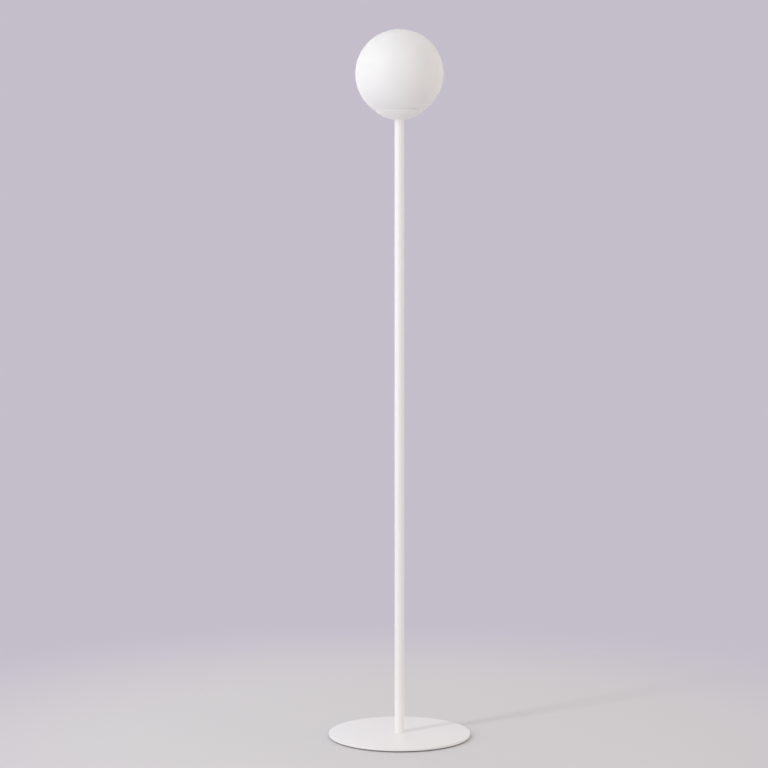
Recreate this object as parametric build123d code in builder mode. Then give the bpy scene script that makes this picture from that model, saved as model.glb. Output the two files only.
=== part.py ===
from build123d import *
from math import cos, radians, sin, sqrt, tan
import os

# Globe floor lamp. Millimetres, +Z up, origin on the floor under the middle of the base.
# A steel plate carries a slim pole that ends in a shallow cup. Three leaf springs in the cup
# hook over the ground edge of an opal glass globe, round a screw lampholder and its bulb.

# ---------------------------------------------------------------- driving dimensions
# Overall
total_height = 1600.0
globe_diameter = 200.0
base_diameter = 320.0
pole_diameter = 22.0

# Base plate, its pads and its screw
plate_thickness = 5.0
plate_edge_round = 0.8
pad_diameter = 20.0
pad_height = 3.0
pad_edge_round = 0.6
pad_inset = 20.0
pad_count = 6
pad_first_angle = 30.0
base_screw_radius = 3.95
base_screw_head_radius = 8.0
base_screw_length = 20.0
base_screw_sink = 0.3
base_screw_tip_chamfer = 1.0
hex_key_width = 5.0
hex_key_depth = 3.0

# Pole and the plugs at its ends
pole_wall = 1.5
foot_plug_height = 16.0
top_plug_height = 16.0
plug_chamfer = 0.5

# Bush for the mains lead, low on the back of the pole
bush_height = 30.0
bush_bore_radius = 3.3
bush_neck_radius = 5.0
bush_flange_radius = 6.8
bush_flange_thickness = 2.0
bush_lip_radius = 5.7
bush_lip_thickness = 1.4
bush_flange_round = 0.9

# Holder cup
cup_thickness = 0.8
cup_rim_margin = 4.7
cup_rim_clearance = 0.3
cup_cone_angle = 35.0
cup_edge_inset = 3.6
cup_dome_depth = 8.0
cup_dome_sagitta = 0.4
cup_land_margin = 1.0

# Glass globe and its silicone seat
glass_thickness = 3.0
globe_opening_diameter = 84.0
seat_inner_margin = 0.8
seat_outer_margin = 0.1
seat_cup_gap = 0.05

# Hollow threaded tube, and what it clamps in the cup
nipple_radius = 4.95
nipple_bore_radius = 3.8
nipple_in_plug = 14.0
bracket_thickness = 1.2
bracket_arm_width = 11.0
bracket_disc_radius = 12.0
bracket_pad_length = 12.5
bracket_pad_margin = 1.9
bracket_bend_radius = 2.5
bracket_corner_round = 2.0
washer_thickness = 0.8
washer_radius = 9.5
washer_teeth = 10
washer_notch = 1.6
nut_height = 3.0
nut_width = 14.0

# Leaf-spring clips that hold the globe
clip_count = 3
clip_first_angle = 90.0
clip_thickness = 0.6
clip_width = 9.0
clip_foot_margin = 2.0
clip_neck_gap = 1.2
clip_neck_run = 3.4
clip_nose_reach = 4.2
clip_glass_gap = 0.2
clip_lead_in_height = 8.0
clip_lead_in_run = 7.0
clip_tail_height = 2.5
clip_tail_run = 1.2
clip_bend_radius = 1.6
rivet_radius = 1.45
rivet_head_radius = 2.4
rivet_head_height = 0.7
rivet_head_chamfer = 0.3
rivet_cup_gap = 0.1
rivet_margin = 2.8
rivet_pitch = 4.8

# Lampholder
holder_radius = 20.0
cap_height = 20.0
cap_wall = 2.2
cap_floor = 3.0
cap_boss_radius = 9.0
cap_flare_height = 12.0
cap_flare_sagitta = 2.6
cap_boss_height = 1.5
cap_ledge_height = 3.0
cap_ledge_width = 1.9
holder_joint_chamfer = 0.4
insert_radius = 7.0
insert_height = 7.0
insert_lug_width = 6.0
insert_lug_end = 12.6
insert_lug_rise = 3.0
insert_lug_height = 6.0
insert_wire_place = 9.4
insert_screw_drop = 3.2
block_height = 11.0
sleeve_height = 37.0
sleeve_mouth_chamfer = 1.0
screw_shell_radius = 13.3
screw_shell_thickness = 0.5
screw_shell_height = 22.0
screw_shell_flange_radius = 9.8
terminal_length = 6.0
terminal_width = 6.5
terminal_height = 7.0
terminal_start = 6.5
terminal_stem_radius = 1.3
live_stem_place = 8.0
neutral_stem_place = 11.0
wire_hole_radius = 1.1
wire_hole_rise = 4.5
terminal_corner = 0.5
screw_radius = 1.45
screw_head_radius = 2.4
screw_head_height = 1.6
screw_slot_width = 0.6
screw_slot_depth = 0.7
contact_thickness = 0.5
contact_width = 5.0
contact_rise = 4.5
contact_foot_end = 9.0
contact_foot_start = 6.0
contact_crest_start = 3.0
contact_tail_place = 4.6
contact_tail_drop = 1.4
contact_bend_radius = 0.6

# Lead inside the pole, and its three wires
lead_radius = 3.1
lead_start_gap = 0.8
lead_wall_gap = 0.5
lead_climb = 90.0
lead_drift = 260.0
lead_entry_straight = 1.8
lead_long_bend = 400.0
lead_above_nipple = 1.5
wire_radius = 1.05
wire_circle_radius = 1.75
wire_drop_angle = 30.0
wire_tip_radius = 0.6
wire_tip_depth = 4.0
wire_bend_radius = 2.0
wire_strip_gap = 0.4
earth_wire_arch = 3.0
earth_bend_radius = 1.6

# Bulb
bulb_radius = 30.0
bulb_length = 108.0
tip_radius = 4.8
tip_height = 1.2
tip_round = 0.4
insulator_radius = 11.5
insulator_foot_radius = 5.6
insulator_height = 3.8
insulator_band = 0.8
shell_radius = 12.9
shell_thickness = 0.35
shell_height = 19.0
shell_collar_radius = 13.2
shell_collar_height = 1.5
shell_foot_round = 0.3
housing_foot_radius = 14.2
housing_wall = 1.6
housing_top_place = 66.0
housing_step = 0.5
housing_bulge = 2.4
housing_spigot_height = 5.0
board_ledge = 1.2
led_board_thickness = 1.6
led_board_drop = 1.4
led_board_margin = 0.6
led_count = 12
led_circle_radius = 15.0
led_size = 2.8
led_height = 0.8
dome_thickness = 1.2
driver_length = 26.0
driver_width = 15.0
driver_thickness = 1.2
driver_rise = 4.0
capacitor_radius = 4.0
coil_width = 6.0

# Room left between pieces that fit together
thread_gap = 0.05
hole_gap = 0.15

# ---------------------------------------------------------------- sizes worked out from them
pole_radius = pole_diameter / 2
pole_bore_radius = pole_radius - pole_wall
plate_top_z = pad_height + plate_thickness

globe_radius = globe_diameter / 2
glass_inner_radius = globe_radius - glass_thickness
globe_centre_z = total_height - globe_radius
opening_radius = globe_opening_diameter / 2
glass_edge_z = globe_centre_z - sqrt(glass_inner_radius**2 - opening_radius**2)
glass_foot_radius = sqrt(globe_radius**2 - (globe_centre_z - glass_edge_z) ** 2)

cup_rim_radius = glass_foot_radius + cup_rim_margin
cup_edge_radius = opening_radius - cup_edge_inset
clip_neck_radius = opening_radius - clip_neck_gap
clip_nose_radius = opening_radius + clip_nose_reach
bracket_pad_end = clip_neck_radius - clip_neck_run - bracket_pad_margin
bracket_pad_start = bracket_pad_end - bracket_pad_length
clip_foot_start = bracket_pad_start + clip_foot_margin
rivet_places = [clip_foot_start + rivet_margin, clip_foot_start + rivet_margin + rivet_pitch]

cone_slope = tan(radians(cup_cone_angle))
cone_normal = (sin(radians(cup_cone_angle)), -cos(radians(cup_cone_angle)))
cup_rim_reach = globe_radius + cup_rim_clearance
cup_rim_z = globe_centre_z - sqrt(cup_rim_reach**2 - cup_rim_radius**2)
rim_outer_radius = cup_rim_radius + cup_thickness * cone_normal[0]
rim_outer_z = cup_rim_z + cup_thickness * cone_normal[1]
cup_edge_z = rim_outer_z - (rim_outer_radius - cup_edge_radius) * cone_slope
cup_base_z = cup_edge_z - cup_dome_depth
cup_floor_z = cup_base_z + cup_thickness
cup_land_radius = max(pole_radius, bracket_disc_radius) + cup_land_margin
cup_dome_slope = cup_dome_depth / (cup_edge_radius - cup_land_radius)

# The arms bend within the cup's flat, and their pads hold the rivets' heads clear of its dome.
rivet_outer_edge = max(rivet_places) + rivet_head_radius
bracket_bend_place = sqrt(bracket_disc_radius**2 - (bracket_arm_width / 2) ** 2)
bracket_pad_rise = (
    (rivet_outer_edge - cup_land_radius) * cup_dome_slope + rivet_head_height + rivet_cup_gap
)
bracket_top_z = cup_floor_z + bracket_thickness
pad_top_z = bracket_top_z + bracket_pad_rise
nut_z = bracket_top_z + washer_thickness
holder_z = nut_z + nut_height
cap_top_z = holder_z + cap_height
insert_z = holder_z + cap_floor
nipple_top_z = insert_z + insert_height
lead_top_z = nipple_top_z + lead_above_nipple
block_top_z = cap_top_z + block_height
wire_hole_z = cap_top_z - terminal_height + wire_hole_rise
bulb_z = block_top_z + contact_rise

cap_inner_radius = holder_radius - cap_wall
block_radius = cap_inner_radius - thread_gap
shell_outer_radius = screw_shell_radius + screw_shell_thickness
bush_z = plate_top_z + bush_height
bulb_shell_z = bulb_z + tip_height + insulator_height
housing_z = bulb_shell_z + shell_height
housing_top_z = bulb_z + housing_top_place
dome_centre_z = bulb_z + bulb_length - bulb_radius
dome_foot_radius = sqrt(bulb_radius**2 - (dome_centre_z - housing_top_z) ** 2)

os.makedirs("parts", exist_ok=True)


def cone_inner_z(radius):
    """Height of the cup's inner cone at a radius."""
    return cup_rim_z - (cup_rim_radius - radius) * cone_slope


def clip_z(radius):
    """Height at which a clip's middle line just clears the globe's inner face at a radius."""
    reach = glass_inner_radius - clip_glass_gap - clip_thickness / 2
    return globe_centre_z - sqrt(reach**2 - radius**2)


def radial_plane(angle):
    """Upright plane through the lamp's axis, whose first axis points out at an angle."""
    out = (cos(radians(angle)), sin(radians(angle)), 0)
    return Plane(origin=(0, 0, 0), x_dir=out, z_dir=(out[1], -out[0], 0))


def start_plane(route):
    """Plane square to the start of a route."""
    return Plane(origin=route @ 0, z_dir=route % 0)


def end_plane(route):
    """Plane square to the end of a route."""
    return Plane(origin=route @ 1, z_dir=route % 1)


# ---------------------------------------------------------------- base
with BuildPart() as base_plate:
    with BuildSketch(Plane.XY.offset(pad_height)):
        Circle(base_diameter / 2)
    extrude(amount=plate_thickness)
    fillet(base_plate.edges().sort_by(Axis.Z)[-1], plate_edge_round)
    fillet(base_plate.edges().sort_by(Axis.Z)[0], plate_edge_round / 2)
    with Locations(Plane.XY.offset(pad_height).rotated((180, 0, 0))):
        CounterSinkHole(
            radius=base_screw_radius + hole_gap,
            counter_sink_radius=base_screw_head_radius + hole_gap + base_screw_sink,
            depth=plate_thickness,
            counter_sink_angle=90,
        )
base_plate.part.label = "base_plate"
export_step(base_plate.part, "parts/base_plate.step")

with BuildPart() as base_pads:
    with BuildSketch():
        with PolarLocations(base_diameter / 2 - pad_inset, pad_count, start_angle=pad_first_angle):
            Circle(pad_diameter / 2)
    extrude(amount=pad_height)
    fillet(base_pads.edges().group_by(Axis.Z)[0], pad_edge_round)
base_pads.part.label = "base_pads"
export_step(base_pads.part, "parts/base_pads.step")

screw_head_z = pad_height + base_screw_sink
screw_cone_z = screw_head_z + base_screw_head_radius - base_screw_radius
screw_end_z = screw_head_z + base_screw_length
with BuildPart() as base_screw:
    with BuildSketch(Plane.XZ):
        with BuildLine():
            Polyline(
                (0, screw_head_z),
                (base_screw_head_radius, screw_head_z),
                (base_screw_radius, screw_cone_z),
                (base_screw_radius, screw_end_z),
                (0, screw_end_z),
                close=True,
            )
        make_face()
    revolve(axis=Axis.Z)
    chamfer(base_screw.edges().sort_by(Axis.Z)[-1], base_screw_tip_chamfer)
    with BuildSketch(Plane.XY.offset(screw_head_z)):
        RegularPolygon(hex_key_width / 2, 6, major_radius=False)
    extrude(amount=hex_key_depth, mode=Mode.SUBTRACT)
base_screw.part.label = "base_screw"
export_step(base_screw.part, "parts/base_screw.step")

# ---------------------------------------------------------------- pole
with BuildPart() as pole_foot_plug:
    with BuildSketch(Plane.XY.offset(plate_top_z)):
        Circle(pole_bore_radius - thread_gap)
        Circle(base_screw_radius + thread_gap, mode=Mode.SUBTRACT)
    extrude(amount=foot_plug_height)
    chamfer(pole_foot_plug.edges().group_by(Axis.Z)[-1], plug_chamfer)
pole_foot_plug.part.label = "pole_foot_plug"
export_step(pole_foot_plug.part, "parts/pole_foot_plug.step")

with BuildPart() as pole:
    with BuildSketch(Plane.XY.offset(plate_top_z)):
        Circle(pole_radius)
        Circle(pole_bore_radius, mode=Mode.SUBTRACT)
    extrude(amount=cup_base_z - plate_top_z)
    with BuildSketch(Plane.XZ):
        with Locations((0, bush_z)):
            Circle(bush_neck_radius + hole_gap)
    extrude(amount=-2 * pole_radius, mode=Mode.SUBTRACT)
pole.part.label = "pole"
export_step(pole.part, "parts/pole.step")

# The lip snaps in behind the tube's wall, and the flange lies on the outside of the tube.
bush_lip_y = sqrt(pole_bore_radius**2 - bush_lip_radius**2) - bush_lip_thickness
bush_end_y = pole_radius + bush_flange_thickness
with BuildPart() as bush_lip:
    with BuildSketch(Plane.XZ.offset(-bush_lip_y)):
        with Locations((0, bush_z)):
            Circle(bush_lip_radius)
    extrude(amount=-pole_radius)
    with BuildSketch(Plane.XY.offset(bush_z)):
        Circle(pole_bore_radius - thread_gap)
    extrude(amount=2 * bush_lip_radius, both=True, mode=Mode.INTERSECT)

with BuildPart() as cord_bush:
    with BuildSketch(Plane.XZ.offset(-pole_radius / 2)):
        with Locations((0, bush_z)):
            Circle(bush_flange_radius)
    extrude(amount=pole_radius / 2 - bush_end_y)
    fillet(cord_bush.edges().sort_by(Axis.Y)[-1], bush_flange_round)
    with BuildSketch(Plane.XY.offset(bush_z)):
        Circle(pole_radius + thread_gap)
    extrude(amount=2 * bush_flange_radius, both=True, mode=Mode.SUBTRACT)
    with BuildSketch(Plane.XZ.offset(-bush_lip_y)):
        with Locations((0, bush_z)):
            Circle(bush_neck_radius)
    extrude(amount=bush_lip_y - pole_radius - bush_flange_thickness / 2)
    add(bush_lip.part)
    with BuildSketch(Plane.XZ):
        with Locations((0, bush_z)):
            Circle(bush_bore_radius)
    extrude(amount=-2 * pole_radius, mode=Mode.SUBTRACT)
cord_bush.part.label = "cord_bush"
export_step(cord_bush.part, "parts/cord_bush.step")

with BuildPart() as pole_top_plug:
    with BuildSketch(Plane.XY.offset(cup_base_z - top_plug_height)):
        Circle(pole_bore_radius - thread_gap)
        Circle(nipple_radius + thread_gap, mode=Mode.SUBTRACT)
    extrude(amount=top_plug_height)
    chamfer(pole_top_plug.edges().group_by(Axis.Z)[0], plug_chamfer)
pole_top_plug.part.label = "pole_top_plug"
export_step(pole_top_plug.part, "parts/pole_top_plug.step")

with BuildPart() as nipple:
    with BuildSketch(Plane.XY.offset(cup_base_z - nipple_in_plug)):
        Circle(nipple_radius)
        Circle(nipple_bore_radius, mode=Mode.SUBTRACT)
    extrude(amount=nipple_top_z - cup_base_z + nipple_in_plug)
nipple.part.label = "nipple"
export_step(nipple.part, "parts/nipple.step")

# ---------------------------------------------------------------- holder cup
with BuildPart() as holder_cup:
    with BuildSketch(Plane.XZ):
        with BuildLine():
            Line((0, cup_base_z), (cup_land_radius, cup_base_z))
            SagittaArc(
                (cup_land_radius, cup_base_z), (cup_edge_radius, cup_edge_z), -cup_dome_sagitta
            )
            Line((cup_edge_radius, cup_edge_z), (rim_outer_radius, rim_outer_z))
            offset(amount=cup_thickness, side=Side.LEFT, kind=Kind.INTERSECTION)
        make_face()
    revolve(axis=Axis.Z)
    with BuildSketch(Plane.XY.offset(cup_base_z)):
        Circle(nipple_radius + hole_gap)
    extrude(amount=2 * cup_thickness, mode=Mode.SUBTRACT)
holder_cup.part.label = "holder_cup"
export_step(holder_cup.part, "parts/holder_cup.step")

# ---------------------------------------------------------------- globe and its seat
with BuildPart() as globe:
    with BuildSketch(Plane.XZ):
        with Locations((0, globe_centre_z)):
            Circle(globe_radius)
            Circle(glass_inner_radius, mode=Mode.SUBTRACT)
        with Locations((0, glass_edge_z)):
            Rectangle(
                globe_radius, total_height, align=(Align.MIN, Align.MIN), mode=Mode.INTERSECT
            )
    revolve(axis=Axis.Z)
globe.part.label = "globe"
export_step(globe.part, "parts/globe.step")

seat_inner_radius = opening_radius + seat_inner_margin
seat_outer_radius = glass_foot_radius - seat_outer_margin
with BuildPart() as globe_seat:
    with BuildSketch(Plane.XZ):
        with BuildLine():
            Polyline(
                (seat_inner_radius, glass_edge_z),
                (seat_outer_radius, glass_edge_z),
                (seat_outer_radius, cone_inner_z(seat_outer_radius) + seat_cup_gap),
                (seat_inner_radius, cone_inner_z(seat_inner_radius) + seat_cup_gap),
                close=True,
            )
        make_face()
    revolve(axis=Axis.Z)
globe_seat.part.label = "globe_seat"
export_step(globe_seat.part, "parts/globe_seat.step")

# ---------------------------------------------------------------- bracket, washer and nut
clip_angles = [clip_first_angle + 360 / clip_count * place for place in range(clip_count)]
with BuildPart() as clip_bracket:
    for clip_angle in clip_angles:
        with BuildSketch(radial_plane(clip_angle)):
            with BuildLine():
                FilletPolyline(
                    (0, cup_floor_z),
                    (bracket_bend_place, cup_floor_z),
                    (bracket_pad_start, pad_top_z - bracket_thickness),
                    (bracket_pad_end, pad_top_z - bracket_thickness),
                    radius=bracket_bend_radius,
                )
                offset(amount=bracket_thickness, side=Side.LEFT, kind=Kind.INTERSECTION)
            make_face()
        extrude(amount=bracket_arm_width / 2, both=True)
    fillet(
        clip_bracket.edges()
        .filter_by(Axis.Z)
        .filter_by(lambda edge: edge.center().Z > pad_top_z - bracket_thickness),
        bracket_corner_round,
    )
    with BuildSketch(Plane.XY.offset(cup_floor_z)):
        Circle(bracket_disc_radius)
    extrude(amount=bracket_thickness)
    with BuildSketch(Plane.XY.offset(cup_floor_z)):
        Circle(nipple_radius + hole_gap)
        for rivet_place in rivet_places:
            with PolarLocations(rivet_place, clip_count, start_angle=clip_first_angle):
                Circle(rivet_radius + thread_gap)
    extrude(until=Until.LAST, mode=Mode.SUBTRACT)
clip_bracket.part.label = "clip_bracket"
export_step(clip_bracket.part, "parts/clip_bracket.step")

with BuildPart() as toothed_washer:
    with BuildSketch(Plane.XY.offset(bracket_top_z)):
        Circle(washer_radius)
        with PolarLocations(washer_radius, washer_teeth):
            Rectangle(washer_notch, washer_notch, mode=Mode.SUBTRACT)
        Circle(nipple_radius + hole_gap, mode=Mode.SUBTRACT)
    extrude(amount=washer_thickness)
toothed_washer.part.label = "toothed_washer"
export_step(toothed_washer.part, "parts/toothed_washer.step")

with BuildPart() as cup_nut:
    with BuildSketch(Plane.XY.offset(nut_z)):
        RegularPolygon(nut_width / 2, 6, major_radius=False)
        Circle(nipple_radius + thread_gap, mode=Mode.SUBTRACT)
    extrude(amount=nut_height)
cup_nut.part.label = "cup_nut"
export_step(cup_nut.part, "parts/cup_nut.step")

# ---------------------------------------------------------------- leaf-spring clips
# Each leaf rises through the opening, hooks out over the glass and slopes back in, so that
# the globe pushes it aside on the way down and is drawn onto its seat by the hook.
clip_foot_z = pad_top_z + clip_thickness / 2
clip_nose_z = clip_z(clip_nose_radius)
clip_lead_radius = clip_nose_radius - clip_lead_in_run
clip_lead_z = clip_nose_z + clip_lead_in_height
with BuildPart() as globe_clips:
    for clip_angle in clip_angles:
        with BuildSketch(radial_plane(clip_angle)):
            with BuildLine():
                FilletPolyline(
                    (clip_foot_start, clip_foot_z),
                    (clip_neck_radius - clip_neck_run, clip_foot_z),
                    (clip_neck_radius, clip_z(clip_neck_radius)),
                    (clip_nose_radius, clip_nose_z),
                    (clip_lead_radius, clip_lead_z),
                    (clip_lead_radius - clip_tail_run, clip_lead_z + clip_tail_height),
                    radius=clip_bend_radius,
                )
                offset(amount=clip_thickness / 2, side=Side.BOTH, kind=Kind.INTERSECTION)
            make_face()
        extrude(amount=clip_width / 2, both=True)
    with BuildSketch(Plane.XY.offset(pad_top_z)):
        for rivet_place in rivet_places:
            with PolarLocations(rivet_place, clip_count, start_angle=clip_first_angle):
                Circle(rivet_radius + thread_gap)
    extrude(amount=clip_thickness, mode=Mode.SUBTRACT)
globe_clips.part.label = "globe_clips"
export_step(globe_clips.part, "parts/globe_clips.step")

rivet_foot_z = pad_top_z - bracket_thickness
rivet_grip_z = pad_top_z + clip_thickness
with BuildPart() as clip_rivets:
    for clip_angle in clip_angles:
        for rivet_place in rivet_places:
            shank_edge = rivet_place + rivet_radius
            head_edge = rivet_place + rivet_head_radius
            with BuildSketch(radial_plane(clip_angle)):
                with BuildLine():
                    Polyline(
                        (rivet_place, rivet_foot_z - rivet_head_height),
                        (head_edge - rivet_head_chamfer, rivet_foot_z - rivet_head_height),
                        (head_edge, rivet_foot_z - rivet_head_height + rivet_head_chamfer),
                        (head_edge, rivet_foot_z),
                        (shank_edge, rivet_foot_z),
                        (shank_edge, rivet_grip_z),
                        (head_edge, rivet_grip_z),
                        (head_edge, rivet_grip_z + rivet_head_height - rivet_head_chamfer),
                        (head_edge - rivet_head_chamfer, rivet_grip_z + rivet_head_height),
                        (rivet_place, rivet_grip_z + rivet_head_height),
                        close=True,
                    )
                make_face()
            rivet_foot = radial_plane(clip_angle).from_local_coords((rivet_place, 0, 0))
            revolve(axis=Axis(origin=rivet_foot, direction=(0, 0, 1)))
clip_rivets.part.label = "clip_rivets"
export_step(clip_rivets.part, "parts/clip_rivets.step")

# ---------------------------------------------------------------- lampholder
cap_ledge_radius = cap_inner_radius - cap_ledge_width
cap_flare_z = holder_z + cap_flare_height
with BuildPart() as lampholder_cap:
    with BuildSketch(Plane.XZ):
        with BuildLine():
            Polyline(
                (nipple_radius + thread_gap, holder_z + cap_floor),
                (nipple_radius + thread_gap, holder_z),
                (cap_boss_radius, holder_z),
                (cap_boss_radius, holder_z + cap_boss_height),
            )
            SagittaArc(
                (cap_boss_radius, holder_z + cap_boss_height),
                (holder_radius, cap_flare_z),
                -cap_flare_sagitta,
            )
            Polyline(
                (holder_radius, cap_flare_z),
                (holder_radius, cap_top_z - holder_joint_chamfer),
                (holder_radius - holder_joint_chamfer, cap_top_z),
                (cap_ledge_radius, cap_top_z),
                (cap_ledge_radius, cap_top_z - cap_ledge_height),
                (cap_inner_radius, cap_top_z - cap_ledge_height),
                (cap_inner_radius, cap_flare_z),
            )
            SagittaArc(
                (cap_inner_radius, cap_flare_z),
                (cap_boss_radius, holder_z + cap_floor),
                cap_flare_sagitta,
            )
            Line(
                (cap_boss_radius, holder_z + cap_floor),
                (nipple_radius + thread_gap, holder_z + cap_floor),
            )
        make_face()
    revolve(axis=Axis.Z)
lampholder_cap.part.label = "lampholder_cap"
export_step(lampholder_cap.part, "parts/lampholder_cap.step")

# The insert's lug is the earth terminal: a wire hole from above and a screw from the side.
lug_z = insert_z + insert_lug_rise
lug_top_z = lug_z + insert_lug_height
lug_screw_z = lug_top_z - insert_screw_drop
with BuildPart() as thread_insert:
    with BuildSketch(Plane.XY.offset(insert_z)):
        Circle(insert_radius)
    extrude(amount=insert_height)
    with BuildSketch(Plane.XY.offset(lug_z)):
        Rectangle(insert_lug_width, insert_lug_end, align=(Align.CENTER, Align.MIN))
    extrude(amount=insert_lug_height)
    with BuildSketch(Plane.XY.offset(insert_z)):
        Circle(nipple_radius + thread_gap)
    extrude(amount=lug_top_z - insert_z, mode=Mode.SUBTRACT)
    with BuildSketch(Plane.XY.offset(lug_top_z)):
        with Locations((0, insert_wire_place)):
            Circle(wire_hole_radius)
    extrude(amount=wire_hole_radius - lug_screw_z + lug_top_z, dir=(0, 0, -1), mode=Mode.SUBTRACT)
    with BuildSketch(Plane.XZ.offset(-insert_wire_place)):
        with Locations((0, lug_screw_z)):
            Circle(screw_radius + thread_gap)
    extrude(amount=insert_wire_place - insert_lug_end, mode=Mode.SUBTRACT)
thread_insert.part.label = "thread_insert"
export_step(thread_insert.part, "parts/thread_insert.step")

with BuildPart() as terminal_block:
    with BuildSketch(Plane.XY.offset(cap_top_z)):
        Circle(block_radius)
    extrude(amount=block_height)
    with BuildSketch(Plane.XY.offset(cap_top_z)):
        with Locations((live_stem_place, 0), (-neutral_stem_place, 0)):
            Circle(terminal_stem_radius + hole_gap)
    extrude(amount=block_height, mode=Mode.SUBTRACT)
terminal_block.part.label = "terminal_block"
export_step(terminal_block.part, "parts/terminal_block.step")

# Each terminal takes its wire from the middle and its screw from below, and its stem
# carries the current up through the block.
wire_lane_y = -wire_circle_radius * sin(radians(wire_drop_angle))
terminal_bottom_z = cap_top_z - terminal_height
terminal_screw_place = terminal_start + terminal_length / 2
with BuildPart() as terminals:
    with BuildSketch(Plane.XY.offset(terminal_bottom_z)):
        with Locations((terminal_screw_place, 0), (-terminal_screw_place, 0)):
            Rectangle(terminal_length, terminal_width)
    extrude(amount=terminal_height)
    chamfer(terminals.edges().filter_by(Axis.Z), terminal_corner)
    with BuildSketch(Plane.XY.offset(cap_top_z)):
        with Locations((live_stem_place, 0), (-neutral_stem_place, 0)):
            Circle(terminal_stem_radius)
    extrude(amount=block_height)
    with BuildSketch(Plane.YZ):
        with Locations((wire_lane_y, wire_hole_z)):
            Circle(wire_hole_radius)
    extrude(amount=terminal_screw_place + wire_hole_radius, both=True, mode=Mode.SUBTRACT)
    with BuildSketch(Plane.XY.offset(terminal_bottom_z)):
        with Locations((terminal_screw_place, wire_lane_y), (-terminal_screw_place, wire_lane_y)):
            Circle(screw_radius + thread_gap)
    extrude(amount=wire_hole_rise, mode=Mode.SUBTRACT)
terminals.part.label = "terminals"
export_step(terminals.part, "parts/terminals.step")

# Two screws stand upright in the terminals, and the third lies in the insert's lug.
screw_seats = [
    Plane(
        origin=(side * terminal_screw_place, wire_lane_y, wire_hole_z - wire_tip_radius),
        z_dir=(0, 0, -1),
    )
    for side in (1, -1)
]
screw_seats.append(
    Plane(origin=(0, insert_wire_place + wire_tip_radius, lug_screw_z), z_dir=(0, 1, 0))
)
screw_lengths = [wire_hole_rise - wire_tip_radius] * 2
screw_lengths.append(insert_lug_end - insert_wire_place - wire_tip_radius)
with BuildPart() as terminal_screws:
    for seat, length in zip(screw_seats, screw_lengths):
        with BuildSketch(seat.offset(thread_gap)):
            Circle(screw_radius)
        extrude(amount=length)
        with BuildSketch(seat.offset(length + thread_gap)):
            Circle(screw_head_radius)
        extrude(amount=screw_head_height)
        with BuildSketch(seat.offset(length + thread_gap + screw_head_height)):
            Rectangle(2 * screw_head_radius, screw_slot_width)
        extrude(amount=-screw_slot_depth, mode=Mode.SUBTRACT)
terminal_screws.part.label = "terminal_screws"
export_step(terminal_screws.part, "parts/terminal_screws.step")

with BuildPart() as screw_shell:
    with BuildSketch(Plane.XY.offset(block_top_z)):
        Circle(shell_outer_radius)
        Circle(screw_shell_radius, mode=Mode.SUBTRACT)
    extrude(amount=screw_shell_height)
    with BuildSketch(Plane.XY.offset(block_top_z)):
        Circle(shell_outer_radius)
        Circle(screw_shell_flange_radius, mode=Mode.SUBTRACT)
    extrude(amount=screw_shell_thickness)
screw_shell.part.label = "screw_shell"
export_step(screw_shell.part, "parts/screw_shell.step")

# A springy strip from the live stem's end to the middle of the shell.
contact_low_z = block_top_z + contact_thickness / 2
contact_high_z = bulb_z - contact_thickness / 2
with BuildPart() as centre_contact:
    with BuildSketch(Plane.XZ):
        with BuildLine():
            FilletPolyline(
                (contact_foot_end, contact_low_z),
                (contact_foot_start, contact_low_z),
                (contact_crest_start, contact_high_z),
                (-contact_crest_start, contact_high_z),
                (-contact_tail_place, contact_high_z - contact_tail_drop),
                radius=contact_bend_radius,
            )
            offset(amount=contact_thickness / 2, side=Side.BOTH, kind=Kind.INTERSECTION)
        make_face()
    extrude(amount=contact_width / 2, both=True)
centre_contact.part.label = "centre_contact"
export_step(centre_contact.part, "parts/centre_contact.step")

sleeve_mouth_radius = shell_outer_radius + thread_gap
with BuildPart() as lampholder_sleeve:
    with BuildSketch(Plane.XY.offset(cap_top_z)):
        Circle(holder_radius)
        Circle(cap_inner_radius, mode=Mode.SUBTRACT)
    extrude(amount=block_height)
    with BuildSketch(Plane.XY.offset(block_top_z)):
        Circle(holder_radius)
        Circle(sleeve_mouth_radius, mode=Mode.SUBTRACT)
    extrude(amount=sleeve_height - block_height)
    chamfer(lampholder_sleeve.edges().group_by(Axis.Z)[-1], sleeve_mouth_chamfer)
    chamfer(
        lampholder_sleeve.edges().group_by(Axis.Z)[0].sort_by(SortBy.RADIUS)[-1],
        holder_joint_chamfer,
    )
lampholder_sleeve.part.label = "lampholder_sleeve"
export_step(lampholder_sleeve.part, "parts/lampholder_sleeve.step")

# ---------------------------------------------------------------- lead and wires
# The lead bends up against the front of the bore, then drifts to the middle of the pole
# and passes through the hollow threaded tube.
lead_start_y = bush_lip_y - lead_start_gap
lead_front_y = pole_bore_radius - lead_radius - lead_wall_gap
lead_foot_bend = lead_start_y + lead_front_y - lead_entry_straight
with BuildPart() as inner_lead:
    with BuildLine() as lead_route:
        FilletPolyline(
            (0, lead_start_y, bush_z),
            (0, -lead_front_y, bush_z),
            (0, -lead_front_y, bush_z + lead_climb),
            (0, 0, bush_z + lead_climb + lead_drift),
            (0, 0, lead_top_z),
            radius=[lead_foot_bend, lead_long_bend, lead_long_bend],
        )
    with BuildSketch(start_plane(lead_route.line)):
        Circle(lead_radius)
    sweep()
inner_lead.part.label = "inner_lead"
export_step(inner_lead.part, "parts/inner_lead.step")
print("inner lead length", round(lead_route.wire().length, 1))

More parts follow.
